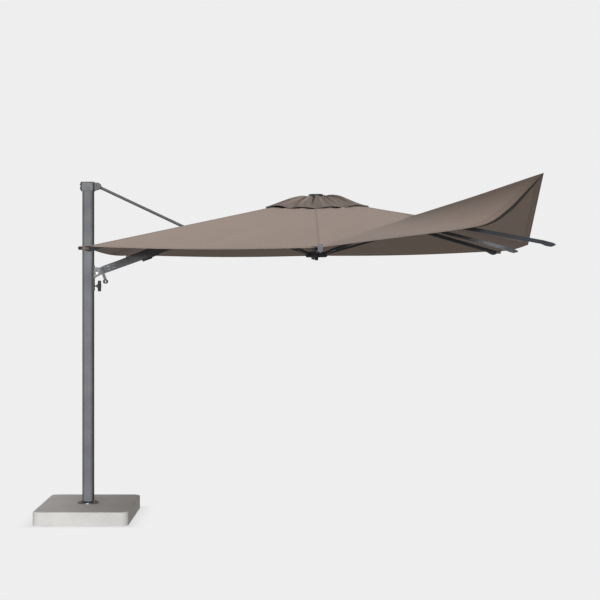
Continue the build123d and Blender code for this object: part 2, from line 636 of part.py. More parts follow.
for name, azimuth in RIBS.items():
    corner = azimuth % 90 != 0
    slope = CORNER_SLOPE if corner else MID_SLOPE
    tube_end = CORNER_TUBE_END if corner else MID_TUBE_END
    plane = rib_plane(azimuth)
    along = Vector(cos(radians(slope)), -sin(radians(slope)))
    up = Vector(sin(radians(slope)), cos(radians(slope)))
    root = Vector(PIVOT_R, 0)
    lug_foot = root + along * ((STRUT_X - PIVOT_R) * along.X + STRUT_Y * along.Y)
    tube_plane = Plane(
        origin=plane.from_local_coords(root + along * TUBE_START),
        x_dir=plane.z_dir,
        z_dir=(plane.from_local_coords(along) - HUB),
    )
    with BuildPart() as rib:
        with BuildSketch(tube_plane):
            Rectangle(RIB_W, RIB_H)
            Rectangle(RIB_W - 2 * RIB_WALL, RIB_H - 2 * RIB_WALL, mode=Mode.SUBTRACT)
        extrude(amount=tube_end - TUBE_START)
        with BuildSketch(tube_plane):
            Rectangle(RIB_W, RIB_H)
        extrude(amount=12)
        with BuildSketch(plane):
            with BuildLine():
                Polyline(
                    root + up * 9,
                    root + along * (TUBE_START + 2) + up * 9,
                    root + along * (TUBE_START + 2) - up * 9,
                    root - up * 9,
                    close=True,
                )
            make_face()
            with Locations(root):
                Circle(9)
        extrude(amount=TONGUE_W / 2, both=True)
        if corner:
            with BuildSketch(plane):
                with BuildLine():
                    Polyline(
                        lug_foot - along * 34 - up * RIB_H / 2,
                        lug_foot + along * 34 - up * RIB_H / 2,
                        Vector(STRUT_X, STRUT_Y) + along * 10,
                        Vector(STRUT_X, STRUT_Y) - along * 10,
                        close=True,
                    )
                make_face()
                with Locations((STRUT_X, STRUT_Y)):
                    Circle(10)
            extrude(amount=RIB_W / 2, both=True)
        with BuildSketch(plane):
            with Locations(root, (STRUT_X, STRUT_Y)):
                Circle(PIN_R + RUN)
        extrude(amount=RIB_W, both=True, mode=Mode.SUBTRACT)
    save(rib.part, f"rib_{name}")

    end = root + along * tube_end
    with BuildPart() as rib_tip:
        with BuildSketch(plane):
            with BuildLine():
                Polyline(
                    end + up * RIB_H / 2,
                    end + along * TIP_L * 0.8 + up * RIB_H * 0.3,
                    end + along * TIP_L + up * RIB_H * 0.1,
                    end + along * TIP_L - up * RIB_H * 0.25,
                    end + along * TIP_L * 0.72 - up * RIB_H * 0.8,
                    end + along * TIP_L * 0.4 - up * RIB_H * 0.8,
                    end - up * RIB_H / 2,
                    close=True,
                )
            make_face()
        extrude(amount=RIB_W / 2 + 1, both=True)
    save(rib_tip.part, f"rib_tip_{name}")

    low = Vector(PIVOT_R, RUNNER_UP)
    high = Vector(STRUT_X, STRUT_Y)
    run = (high - low).normalized()
    rise = Vector(-run.Y, run.X)
    with BuildPart() as strut:
        for side in (1, -1):
            with BuildSketch(plane.offset(side * BAR_GAP / 2)):
                with BuildLine():
                    Polyline(
                        low + run * 90 + rise * BAR_H / 2,
                        high + rise * BAR_H / 2,
                        high - rise * BAR_H / 2,
                        low + run * 90 - rise * BAR_H / 2,
                        close=True,
                    )
                make_face()
                with Locations(high):
                    Circle(BAR_H / 2)
                with Locations(high):
                    Circle(PIN_R + 0.02, mode=Mode.SUBTRACT)
            extrude(amount=side * BAR_T)
        with BuildSketch(plane):
            with BuildLine():
                Polyline(
                    low + run * 90 + rise * BAR_H / 2,
                    low + run * 130 + rise * BAR_H / 2,
                    low + run * 130 - rise * BAR_H / 2,
                    low + run * 90 - rise * BAR_H / 2,
                    close=True,
                )
            make_face()
        extrude(amount=BAR_GAP / 2, both=True)
        with BuildSketch(plane):
            with BuildLine():
                Polyline(
                    low + rise * BAR_H / 2,
                    low + run * 95 + rise * BAR_H / 2,
                    low + run * 95 - rise * BAR_H / 2,
                    low - rise * BAR_H / 2,
                    close=True,
                )
            make_face()
            with Locations(low):
                Circle(BAR_H / 2)
            with Locations(low):
                Circle(PIN_R + RUN, mode=Mode.SUBTRACT)
        extrude(amount=TONGUE_W / 2, both=True)
        with BuildSketch(plane):
            with Locations(high):
                Circle(PIN_R)
        extrude(amount=BAR_GAP / 2 + BAR_T + 1, both=True)
    save(strut.part, f"strut_{name}")

# ---------------------------------------------------------------- fabric

# The near-right corner is off its rib: where the fold starts and ends, and the free hem's points,
# from the middle of the near side to the lifted corner.
FOLD_START = Vector(HUB_X + 676, -676, 2172)
LIFTED = Vector(HUB_X + 1443, -1452, 2414)
FREE_MIDDLE = Vector(HUB_X + 1550, -20, 1986)
FREE_HEM = [
    (0, 0, 1932),
    (480, 6, 1994),
    (880, 20, 2046),
    (1080, 44, 2090),
    (1215, 62, 2182),
    (1335, 66, 2302),
    (1443, 53, 2414),
]
MID_SAG, LEFT_SAG = 12, 24
STATIONS = [INNER_HALF + (HALF - INNER_HALF) * k / 6 for k in range(7)]


def on_frame(x, y, height):
    """A point of the tilted hub frame."""
    return HUB + radial(0) * x + Vector(0, 1, 0) * y + UP * height


def rib_top(distance, corner):
    slope = CORNER_SLOPE if corner else MID_SLOPE
    return FABRIC_UP - (distance - PIVOT_R) * tan(radians(slope))


def line_point(index, half):
    """Line index runs round in steps of 22.5 degrees: even ones lie on ribs, odd ones halfway."""
    step = index % 16
    side, place = (step + 2) // 4 % 4, (step + 2) % 4 - 2
    across = half * place / 2
    x, y = ((half, across), (-across, half), (-half, -across), (across, -half))[side]
    on_corner = rib_top(half * sqrt(2), True)
    if side == 2:
        lift = (half / HALF) ** 2
        sag = {0: 1, 1: 0.75, -1: 0.75, -2: 0}[place] * LEFT_SAG * lift
        return on_frame(x, y, on_corner - sag)
    on_middle = rib_top(half, False)
    if place == -2:
        return on_frame(x, y, on_corner)
    if place == 0:
        return on_frame(x, y, on_middle)
    return on_frame(x, y, (on_corner + on_middle) / 2 - MID_SAG * (half / HALF) ** 2)


def sheet(rows):
    """A closed solid of one thickness under rows of points."""
    lift = Vector(0, 0, FABRIC_T)
    faces = []

    def add_face(*corners):
        faces.append(Face(Wire.make_polygon(corners)))

    def skin(offset, flip):
        for row, following in zip(rows, rows[1:]):
            for a, b, c, d in zip(row, row[1:], following[1:], following):
                for three in ((a, b, c), (a, c, d)):
                    points = [p - offset for p in three]
                    if (points[1] - points[0]).cross(points[2] - points[0]).length > 1:
                        add_face(*(points[::-1] if flip else points))

    skin(Vector(0, 0, 0), False)
    skin(lift, True)
    rim = rows[0][:-1] + [row[-1] for row in rows[:-1]]
    rim += rows[-1][:0:-1] + [row[0] for row in rows[:0:-1]]
    for a, b in zip(rim, rim[1:] + rim[:1]):
        if (a - b).length > 0.01:
            add_face(a, b, b - lift)
            add_face(a, b - lift, a - lift)
    return Solid(Shell(faces))


def hem_point(share):
    """A point of the free hem, by its share of the way to the lifted corner."""
    place = share * (len(FREE_HEM) - 1)
    start = min(int(place), len(FREE_HEM) - 2)
    part = place - start
    (x0, y0, z0), (x1, y1, z1) = FREE_HEM[start], FREE_HEM[start + 1]
    return Vector(
        HUB_X + x0 + (x1 - x0) * part,
        -HALF + y0 + (y1 - y0) * part,
        z0 + (z1 - z0) * part,
    )


def mix(a, b, share):
    return a + (b - a) * share


FOLD_STATION = 3


def lifted_point(index, station):
    """The near-right quarter: lines 12 and 16 lie at its sides and line 14 is the folded diagonal."""
    outside = station - FOLD_STATION
    steps = len(STATIONS) - 1 - FOLD_STATION
    if index == 16:
        return mix(line_point(16, INNER_HALF), FREE_MIDDLE, station / (len(STATIONS) - 1))
    if index <= 14:
        share = (index - 12) / 2
        inner = mix(line_point(12, INNER_HALF), line_point(14, INNER_HALF), share)
        fold = mix(hem_point(0), FOLD_START, share)
        hem = hem_point(share)
    else:
        share = (index - 14) / 2
        inner = mix(line_point(14, INNER_HALF), line_point(16, INNER_HALF), share)
        fold = mix(FOLD_START, FREE_MIDDLE, share)
        hem = mix(LIFTED, FREE_MIDDLE, share)
    if outside <= 0:
        return mix(inner, fold, station / FOLD_STATION)
    return mix(fold, hem, outside / steps)


NEAR_SHARES = (0, 0.31, 0.63, 0.94, 0.96, 0.98, 1)


def sector_line(index, station):
    if 12 < index <= 16:
        return lifted_point(index, station)
    if index == 12:
        return line_point(index, INNER_HALF + (HALF - INNER_HALF) * NEAR_SHARES[station])
    return line_point(index, STATIONS[station])


SECTORS = {
    "near_left": (8, 9, 10, 11),
    "near": (11, 12, 12.5, 13),
    "near_right": (13, 13.5, 14, 14.5, 15),
    "right": (15, 16, 17),
    "far_right": (1, 2, 3),
    "far": (3, 4, 5),
    "far_left": (5, 6, 7, 8),
}
for name, lines in SECTORS.items():
    rows = [[sector_line(index, n) for n in range(len(STATIONS))] for index in lines]
    with BuildPart() as canopy:
        add(sheet(rows))
        if name in ("near_left", "far_left"):
            with BuildSketch(Plane.XY.offset(HUB_Z - HALF)):
                with Locations((HUB_X + (SLIT_FROM + SLIT_TO) / 2, 0)):
                    SlotOverall(SLIT_TO - SLIT_FROM, 2 * SLIT_HALF_W)
            extrude(amount=2 * HALF, mode=Mode.SUBTRACT)
    save(canopy.part, f"canopy_{name}")

VENT_HALF, VENT_HOLE, VENT_RISE = 362, 34, 12
VENT_STATIONS = [(VENT_HOLE, 22), (110, 30), (180, 26), (270, 20), (VENT_HALF, 12)]

with BuildPart() as vent_cap:
    vent_rows = []
    for index in list(range(16)) + [0]:
        row = []
        for half, lift in VENT_STATIONS:
            bulge = VENT_RISE * half / VENT_HALF if index % 2 else 0
            on_line = line_point(index, half)
            if half < 120:
                on_line = Vector(on_line.X, on_line.Y, HUB_Z + 2)
            row.append(on_line + Vector(0, 0, lift + bulge))
        vent_rows.append(row)
    vent_lift = Vector(0, 0, FABRIC_T)
    vent_faces = []
    for row, following in zip(vent_rows, vent_rows[1:]):
        for a, b, c, d in zip(row, row[1:], following[1:], following):
            for p, q, r in ((a, b, c), (a, c, d)):
                vent_faces.append(Face(Wire.make_polygon((p, q, r))))
                vent_faces.append(Face(Wire.make_polygon((r - vent_lift, q - vent_lift, p - vent_lift))))
        for p, q in ((row[0], following[0]), (following[-1], row[-1])):
            vent_faces.append(Face(Wire.make_polygon((p, q, q - vent_lift))))
            vent_faces.append(Face(Wire.make_polygon((p, q - vent_lift, p - vent_lift))))
    add(Solid(Shell(vent_faces)))
save(vent_cap.part, "vent_cap")
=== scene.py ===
import json
import math
import bmesh
import bpy
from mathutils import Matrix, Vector, noise


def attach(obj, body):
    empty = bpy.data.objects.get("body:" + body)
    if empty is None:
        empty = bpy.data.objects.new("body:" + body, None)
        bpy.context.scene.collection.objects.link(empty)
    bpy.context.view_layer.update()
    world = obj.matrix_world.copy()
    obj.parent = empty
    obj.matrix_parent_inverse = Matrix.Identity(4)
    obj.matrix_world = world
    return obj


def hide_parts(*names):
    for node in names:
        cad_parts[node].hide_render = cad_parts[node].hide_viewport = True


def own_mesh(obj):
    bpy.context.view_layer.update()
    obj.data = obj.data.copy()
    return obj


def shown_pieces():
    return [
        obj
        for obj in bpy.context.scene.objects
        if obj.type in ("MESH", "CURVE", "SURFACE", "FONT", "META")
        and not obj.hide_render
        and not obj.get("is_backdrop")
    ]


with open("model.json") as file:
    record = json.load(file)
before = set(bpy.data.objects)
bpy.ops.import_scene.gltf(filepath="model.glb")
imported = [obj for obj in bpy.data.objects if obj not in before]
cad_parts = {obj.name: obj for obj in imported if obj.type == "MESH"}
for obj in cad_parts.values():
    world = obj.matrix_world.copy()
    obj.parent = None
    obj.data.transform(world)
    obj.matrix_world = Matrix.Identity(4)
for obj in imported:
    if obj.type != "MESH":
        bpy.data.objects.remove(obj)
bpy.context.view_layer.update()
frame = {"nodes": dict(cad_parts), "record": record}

# ---------------------------------------------------------------- camera, first

EYE = (1.4755, -12.0, 1.699)
LENS = 98.4
cam = bpy.data.objects.new("camera", bpy.data.cameras.new("camera"))
bpy.context.collection.objects.link(cam)
cam.location = EYE
cam.rotation_euler = (math.radians(90), 0, 0)
cam.data.lens = LENS
cam.data.shift_x = 0.0167
cam.data.shift_y = -0.0267
cam.data.clip_end = 200
bpy.context.scene.camera = cam

# ---------------------------------------------------------------- materials


class Nodes:
    """A small helper to wire a material's nodes."""

    def __init__(self, name):
        self.material = bpy.data.materials.new(name)
        self.material.use_nodes = True
        self.tree = self.material.node_tree
        self.bsdf = self.tree.nodes["Principled BSDF"]

    def add(self, kind, inputs=None, **settings):
        node = self.tree.nodes.new(kind)
        for key, value in settings.items():
            setattr(node, key, value)
        for key, value in (inputs or {}).items():
            if isinstance(value, bpy.types.NodeSocket):
                self.tree.links.new(value, node.inputs[key])
            else:
                node.inputs[key].default_value = value
        return node

    def set(self, **inputs):
        for key, value in inputs.items():
            socket = self.bsdf.inputs[key.replace("_", " ")]
            if isinstance(value, bpy.types.NodeSocket):
                self.tree.links.new(value, socket)
            else:
                socket.default_value = value

    def place(self):
        return self.add("ShaderNodeTexCoord").outputs["Object"]

    def noise(self, scale, detail=3.0, place=None, rough=0.55):
        inputs = {"Vector": place or self.place(), "Scale": scale, "Detail": detail, "Roughness": rough}
        return self.add("ShaderNodeTexNoise", inputs).outputs["Fac"]

    def ramp(self, value, low, high, start=0.3, end=0.7):
        node = self.add("ShaderNodeMapRange", {"Value": value, "From Min": start, "From Max": end})
        node.inputs["To Min"].default_value = low
        node.inputs["To Max"].default_value = high
        return node.outputs["Result"]

    def math(self, operation, a, b=0.0):
        return self.add("ShaderNodeMath", {0: a, 1: b}, operation=operation).outputs[0]

    def mix(self, share, a, b):
        node = self.add("ShaderNodeMix", {"Factor": share}, data_type="RGBA")
        for socket, value in ((node.inputs[6], a), (node.inputs[7], b)):
            if isinstance(value, bpy.types.NodeSocket):
                self.tree.links.new(value, socket)
            else:
                socket.default_value = (*value, 1)
        return node.outputs[2]

    def bump(self, height, strength, distance):
        inputs = {"Height": height, "Strength": strength, "Distance": distance}
        self.set(Normal=self.add("ShaderNodeBump", inputs).outputs["Normal"])

    def worn_edges(self, amount):
        """High where the surface turns sharply, for wear along edges."""
        return self.ramp(self.add("ShaderNodeNewGeometry").outputs["Pointiness"], 0, amount, 0.52, 0.6)


def painted(name, colour, worn, rough, face=None):
    """Powder coat; past half a face's width from the middle it is darker: painted shade standing in for the
    shade on a tube's rounded edges.
    """
    m = Nodes(name)
    broad = m.ramp(m.noise(7, 4), 0.86, 1.12)
    dark = [c * 0.86 for c in colour]
    light = [c * 1.14 for c in colour]
    base = m.mix(m.ramp(m.noise(3.2, 3), 0, 1), dark, light)
    if face:
        across = m.add("ShaderNodeSeparateXYZ", {0: m.place()}).outputs[0]
        # Painted shade: beyond the face's half width the colour drops to 0.3 of itself, for the shade on the
        # rounded edges.
        painted_edge_shade = m.math("GREATER_THAN", m.math("ABSOLUTE", across), face)
        base = m.mix(painted_edge_shade, base, [c * 0.3 for c in colour])
    m.set(Base_Color=m.mix(m.worn_edges(0.2), base, worn))
    m.set(Roughness=m.math("MULTIPLY", broad, rough), Metallic=0.0, Specular_IOR_Level=0.35)
    m.bump(m.noise(900, 2), 0.12, 0.0004)
    return m.material


def plastic(name, colour, rough):
    m = Nodes(name)
    base = m.mix(m.ramp(m.noise(22, 3), 0, 1), [c * 0.8 for c in colour], [c * 1.25 for c in colour])
    m.set(Base_Color=m.mix(m.worn_edges(0.35), base, [min(1, c * 2.2 + 0.02) for c in colour]))
    m.set(Roughness=m.ramp(m.noise(60, 2), rough - 0.07, rough + 0.08))
    m.bump(m.noise(1500, 2), 0.25, 0.0003)
    return m.material


def brushed(name, colour):
    m = Nodes(name)
    stretch = m.add("ShaderNodeMapping", {"Vector": m.place()})
    stretch.inputs["Scale"].default_value = (900, 40, 900)
    grain = m.noise(1, 2, stretch.outputs["Vector"])
    m.set(Base_Color=m.mix(grain, [c * 0.75 for c in colour], colour), Metallic=0.7)
    m.set(Roughness=m.ramp(grain, 0.26, 0.44))
    m.bump(grain, 0.1, 0.0002)
    return m.material


def stone(name):
    m = Nodes(name)
    pale, grey = (0.74, 0.735, 0.72), (0.64, 0.635, 0.62)
    base = m.mix(m.ramp(m.noise(5, 5), 0, 1), pale, grey)
    speck = m.ramp(m.noise(420, 2), 0, 1, 0.62, 0.7)
    base = m.mix(m.math("MULTIPLY", speck, 0.55), base, (0.38, 0.375, 0.37))
    chips = m.ramp(m.noise(300, 2, rough=0.8), 0, 1, 0.7, 0.75)
    m.set(Base_Color=m.mix(m.math("MULTIPLY", chips, 0.6), base, (0.85, 0.84, 0.82)))
    m.set(Roughness=m.ramp(m.noise(40, 3), 0.6, 0.85))
    m.bump(m.math("ADD", m.noise(260, 4), m.math("MULTIPLY", m.noise(9, 3), 1.5)), 0.35, 0.0012)
    return m.material


THREAD = 620
STITCHES_PER_METRE, STITCH_WIDTH = 140, 0.0009
HEM_STITCHES, SEAM_STITCHES = (0.006, 0.027), (0.004, 0.011)
HEM_WIDTH, SEAM_WIDTH = 0.03, 0.014


def cloth(name, colour, marked=True):
    """Woven polyester: a plain weave, slubs, faint soiling, and seams and hems where the mesh marks them."""
    m = Nodes(name)
    uv = m.add("ShaderNodeUVMap", uv_map="cut").outputs["UV"]
    weft = m.add("ShaderNodeTexWave", {"Vector": uv, "Scale": THREAD, "Distortion": 0.5},
                 wave_type="BANDS", bands_direction="X").outputs["Fac"]
    warp = m.add("ShaderNodeTexWave", {"Vector": uv, "Scale": THREAD, "Distortion": 0.5},
                 wave_type="BANDS", bands_direction="Y").outputs["Fac"]
    weave = m.math("MULTIPLY", weft, warp)
    slub_place = m.add("ShaderNodeMapping", {"Vector": uv})
    slub_place.inputs["Scale"].default_value = (14, 420, 1)
    slub = m.noise(1, 3, slub_place.outputs["Vector"])
    cloud = m.noise(1.7, 4, uv)
    base = m.mix(m.ramp(cloud, 0, 1), [c * 0.95 for c in colour], [c * 1.05 for c in colour])
    base = m.mix(m.ramp(slub, 0, 0.16), base, [c * 0.72 for c in colour])
    base = m.mix(m.math("MULTIPLY", weave, 0.14), base, [min(1, c * 1.35) for c in colour])
    height = m.math("ADD", weave, m.math("MULTIPLY", slub, 0.5))
    if marked:
        marks = m.add("ShaderNodeSeparateXYZ",
                      {0: m.add("ShaderNodeAttribute", attribute_name="marks").outputs["Vector"]}).outputs
        along = m.add("ShaderNodeSeparateXYZ", {0: uv}).outputs
        stitches = 0.0
        for distance, run, offsets in ((marks[0], along[0], HEM_STITCHES),
                                       (marks[1], along[1], SEAM_STITCHES)):
            dash = m.math("GREATER_THAN", m.math("FRACT", m.math("MULTIPLY", run, STITCHES_PER_METRE)), 0.35)
            for offset in offsets:
                near = m.math("ABSOLUTE", m.math("SUBTRACT", distance, offset))
                line = m.math("LESS_THAN", near, STITCH_WIDTH)
                stitches = m.math("ADD", m.math("MULTIPLY", line, dash), stitches)
        doubled = m.math("MAXIMUM", m.math("LESS_THAN", marks[0], HEM_WIDTH),
                         m.math("LESS_THAN", marks[1], SEAM_WIDTH))
        base = m.mix(m.math("MULTIPLY", doubled, 0.22), base, [c * 0.55 for c in colour])
        base = m.mix(m.math("MINIMUM", stitches, 1.0), base, [c * 0.35 for c in colour])
        height = m.math("ADD", height, m.math("MULTIPLY", doubled, 3.0))
        height = m.math("SUBTRACT", height, m.math("MULTIPLY", stitches, 1.6))
    m.set(Base_Color=base, Roughness=0.86, Specular_IOR_Level=0.15)
    m.set(Sheen_Weight=0.06 if marked else 0.0, Sheen_Roughness=0.5)
    m.bump(height, 0.3, 0.0004)
    return m.material


MAST_FACE = 0.0235
PAINT = painted("anthracite_powder_coat", (0.042, 0.048, 0.058), (0.16, 0.17, 0.19), 0.42)
# The mast's paint carries painted shade along its rounded edges, past MAST_FACE from its middle.
MAST_PAINT = painted("mast_powder_coat_painted_edge_shade", (0.115, 0.118, 0.128), (0.2, 0.21, 0.23), 0.5, face=MAST_FACE)
ARM_PAINT = painted("arm_powder_coat", (0.072, 0.075, 0.083), (0.2, 0.21, 0.23), 0.48)
BRACKET = painted("pale_cast_bracket", (0.11, 0.113, 0.12), (0.4, 0.4, 0.4), 0.45)
BLACK = plastic("black_nylon", (0.022, 0.024, 0.028), 0.5)
TIP_PLASTIC = plastic("blue_grey_nylon", (0.03, 0.037, 0.046), 0.55)
CLIP_PLASTIC = plastic("clip_nylon", (0.11, 0.115, 0.125), 0.55)
STEEL = brushed("zinc_steel", (0.2, 0.207, 0.22))
CAP_NYLON = plastic("taupe_nylon", (0.2, 0.155, 0.13), 0.6)
STONE = stone("cast_stone")
FABRIC_COLOUR = (0.298, 0.234, 0.198)
FABRIC = cloth("taupe_canvas", FABRIC_COLOUR)
# Painted shade: the vent cap is the canopy's canvas at half brightness, for the darker, folded look of the
# vent cap.
SHADED_VENT_FABRIC = cloth("taupe_vent_canvas_painted_shade", [c * 0.52 for c in FABRIC_COLOUR])
# Painted shadow: a near-black cloth for the strip that darkens the gap under the lifted hem.
PAINTED_SHADOW_CLOTH = cloth("painted_hem_shadow", (0.016, 0.014, 0.013), marked=False)


def dress():
    """Every CAD node that stays gets its own finish."""
    slot_finish = {"frame_paint": PAINT, "bracket_grey": BRACKET, "steel": STEEL,
                   "black_plastic": BLACK, "base_stone": STONE, "canopy_fabric": FABRIC}
    wanted = {s["node"]: s["material_slot"] for s in frame["record"]["subparts"]}
    for node, obj in frame["nodes"].items():
        finish = slot_finish[wanted[node]]
        if node == "mast_tube":
            finish = MAST_PAINT
        if node in ("arm_tube", "brace_tube"):
            finish = ARM_PAINT
        if node in ("head_pin", "head_screws"):
            finish = BLACK
        if node.startswith("rib_tip_"):
            finish = TIP_PLASTIC
        obj.data.materials.clear()
        obj.data.materials.append(finish)


dress()

# ---------------------------------------------------------------- the fabric's shape, as in the CAD model

HUB = Vector((1.665, 0, 2.3))
TILT = math.radians(0.6)
OUT = Vector((math.cos(TILT), 0, math.sin(TILT)))
SIDE = Vector((0, 1, 0))
UP = Vector((-math.sin(TILT), 0, math.cos(TILT)))
PIVOT_R, FABRIC_UP = 0.065, 0.018
SLOPES = {True: math.tan(math.radians(10)), False: math.tan(math.radians(15))}
HALF, INNER = 1.505, 0.24
MID_SAG, LEFT_SAG = 0.014, 0.026
THICK = 0.0011
FOLD_START = HUB + Vector((0.676, -0.676, -0.128))
LIFTED = HUB + Vector((1.443, -1.452, 0.114))
FREE_MIDDLE = HUB + Vector((1.55, -0.02, -0.314))
FREE_HEM = [(0, 0, 1.932), (0.48, 0.006, 1.994), (0.88, 0.02, 2.046), (1.08, 0.044, 2.09),
            (1.215, 0.062, 2.182), (1.335, 0.066, 2.302), (1.443, 0.053, 2.414)]
RIBS = {"near_left": 225, "near": 270, "near_right": 315, "right": 0,
        "far_right": 45, "far": 90, "far_left": 135}
RIB_LINE = {"near_left": 10, "near": 12, "near_right": 14, "right": 16,
            "far_right": 2, "far": 4, "far_left": 6}
SECTORS = {"near_left": (8, 11), "near": (11, 13), "near_right": (13, 15), "right": (15, 17),
           "far_right": (1, 3), "far": (3, 5), "far_left": (5, 8)}
SLIT = (-1.08, -0.79, 0.048)


def on_frame(x, y, height):
    return HUB + OUT * x + SIDE * y + UP * height


def rib_top(distance, corner):
    return FABRIC_UP - (distance - PIVOT_R) * SLOPES[corner]


def square_point(index, half):
    """Where line index crosses the square of this half side, with the share of the way from rib to corner."""
    step = index % 16
    quarter = int((step + 2) // 4) % 4
    place = (step + 2) % 4 - 2
    across = half * place / 2
    spot = ((half, across), (-across, half), (-half, -across), (across, -half))[quarter]
    return spot, abs(place) / 2, quarter


def regular(index, half):
    (x, y), share, quarter = square_point(index, half)
    corner = rib_top(half * math.sqrt(2), True)
    reach = (half / HALF) ** 2
    if quarter == 2:
        return on_frame(x, y, corner - LEFT_SAG * (1 - share ** 2) * reach)
    middle = rib_top(half, False)
    sag = MID_SAG * math.sin(math.pi * share) * reach
    return on_frame(x, y, middle + (corner - middle) * share - sag)


def curve_through(points, share):
    """A smooth curve through points, at a share of its way."""
    place = min(max(share, 0.0), 1.0) * (len(points) - 1)
    k = min(int(place), len(points) - 2)
    t = place - k
    p = [Vector(points[min(max(k + d, 0), len(points) - 1)]) for d in (-1, 0, 1, 2)]
    return 0.5 * (2 * p[1] + (p[2] - p[0]) * t + (2 * p[0] - 5 * p[1] + 4 * p[2] - p[3]) * t ** 2
                  + (3 * p[1] - p[0] - 3 * p[2] + p[3]) * t ** 3)


def free_hem(share):
    x, y, z = curve_through(FREE_HEM, share)
    return Vector((HUB.x + x, y - HALF, z))


def folded(index, t):
    """The near-right quarter: flat as far as the fold, then lifted to the free corner."""
    if index <= 14:
        share = (index - 12) / 2
        inner = regular(12, INNER).lerp(regular(14, INNER), share)
        fold, hem = free_hem(0).lerp(FOLD_START, share), free_hem(share)
        at = 1 - 0.5 * share
    else:
        share = (index - 14) / 2
        inner = regular(14, INNER).lerp(regular(16, INNER), share)
        fold, hem = FOLD_START.lerp(FREE_MIDDLE, share), LIFTED.lerp(FREE_MIDDLE, share)
        at = 0.5 + 0.5 * share
    if t <= at:
        return inner.lerp(fold, t / at)
    return fold.lerp(hem, (t - at) / max(1 - at, 1e-6))


SOFTEN = (-0.008, 0.0, 0.008)


def shape(index, t):
    """The fabric's middle surface: index runs round, t from the vent opening to the hem."""
    half = INNER + (HALF - INNER) * t
    if 12 < index < 16:
        reach = min(1, 6 * t, 6 * (1 - t))
        point = Vector()
        for step in SOFTEN:
            point += folded(index, min(1, max(0, t + step * reach)))
        return point / len(SOFTEN)
    if index >= 16 or index < 2:
        lap = index % 16
        slide = (FREE_MIDDLE - regular(16, HALF)) * t * (1 - lap / 2)
        return regular(index, half) + slide
    return regular(index, half)


def wrinkle(index, t):
    """Small folds: pulls that run out from the vent, broad slack, and loose cloth beside the free corner."""
    off_rib = abs(math.sin(math.pi * index / 2)) ** 0.7
    index = index + 16 if index <= 2 else index
    pulled = 0.5 + 0.5 * min(1, max(0, index - 10.5))
    lean = index * 10.5 + 7 * t + 2.2 * noise.noise(Vector((index, t * 3, 5)))
    fan = math.sin(lean) * 0.0085 * math.exp(-t * 4.2) * min(1, t * 9) * pulled
    broad = 0.0045 * noise.noise(Vector((index * 1.1, t * 2.6, 9.1))) * math.sin(math.pi * t)
    wander = 5 * noise.noise(Vector((index * 2, t * 4, 2)))
    ripple = 0.0018 * math.sin(index * 23 + wander) * t ** 3 * (1 - t) * 4
    loose = 0.0
    if 12 < index < 16:
        loose = 0.007 * noise.noise(Vector((index * 1.6, t * 3.4, 1.7))) * math.sin(math.pi * t) ** 0.5
        loose *= math.sin(math.pi * (index - 12) / 4) ** 0.5
    return (fan + broad + ripple) * off_rib + loose


STEP_ROUND, STEP_OUT = 0.0625, 56
FOLD_SHARE = 32 / STEP_OUT


def surface(index, t):
    gap = 0.006
    ahead, behind = shape(index + gap, t), shape(index - gap, t)
    outer, inner = shape(index, min(1, t + gap)), shape(index, max(0, t - gap))
    normal = (outer - inner).cross(ahead - behind)
    normal = normal.normalized() if normal.length > 1e-9 else UP.copy()
    if normal.z < 0:
        normal.negate()
    return shape(index, t) + normal * max(wrinkle(index, t), -0.002), normal


def spread(index, share):
    """A share of a line's points as a share of its length: in the lifted quarter one point is on the fold."""
    if not 11 <= index <= 17:
        return share
    fold = 1 - 0.5 * (index - 12) / 2 if index <= 14 else 0.5 + 0.5 * (index - 14) / 2
    fold = min(0.97, fold)
    if share <= FOLD_SHARE:
        return fold * share / FOLD_SHARE
    return fold + (1 - fold) * (share - FOLD_SHARE) / (1 - FOLD_SHARE)


def lattice(start, end, rows_of, steps, rounds, spacing=lambda index, share: share):
    """Points and normals over a stretch of lines."""
    count = round((end - start) / rounds)
    indices = [start + (end - start) * k / count for k in range(count + 1)]
    return [[rows_of(index, spacing(index, n / steps)) for n in range(steps + 1)] for index in indices]


def cloth_mesh(name, grid, thick, keep_cell=None):
    """A closed sheet of one thickness from a grid of (point, normal), with its normals and point numbers."""
    rows, columns = len(grid), len(grid[0])
    top, index_of = [], {}
    for r in range(rows):
        for c in range(columns):
            index_of[r, c] = len(top)
            top.append(grid[r][c])
    count = len(top)
    verts = [p for p, n in top] + [p - n * thick for p, n in top]
    faces, edges = [], {}
    for r in range(rows - 1):
        for c in range(columns - 1):
            cell = [index_of[r, c], index_of[r, c + 1], index_of[r + 1, c + 1], index_of[r + 1, c]]
            centre = sum((verts[v] for v in cell), Vector()) / 4
            if keep_cell and not keep_cell(centre):
                continue
            if (verts[cell[2]] - verts[cell[0]]).cross(verts[cell[3]] - verts[cell[1]]).length < 1e-9:
                continue
            side = (verts[cell[1]] - verts[cell[0]]).cross(verts[cell[3]] - verts[cell[0]])
            if side.dot(top[cell[0]][1]) < 0:
                cell.reverse()
            faces.append(cell)
            for a, b in zip(cell, cell[1:] + cell[:1]):
                if (b, a) in edges:
                    del edges[b, a]
                else:
                    edges[a, b] = True
    faces += [[v + count for v in reversed(f)] for f in list(faces)]
    faces += [[b, a, a + count, b + count] for a, b in edges]
    mesh = bpy.data.meshes.new(name)
    mesh.from_pydata([tuple(v) for v in verts], [], faces)
    obj = bpy.data.objects.new(name, mesh)
    bpy.context.collection.objects.link(obj)
    normals = [n for p, n in top] + [-n for p, n in top]
    return obj, normals, index_of, count


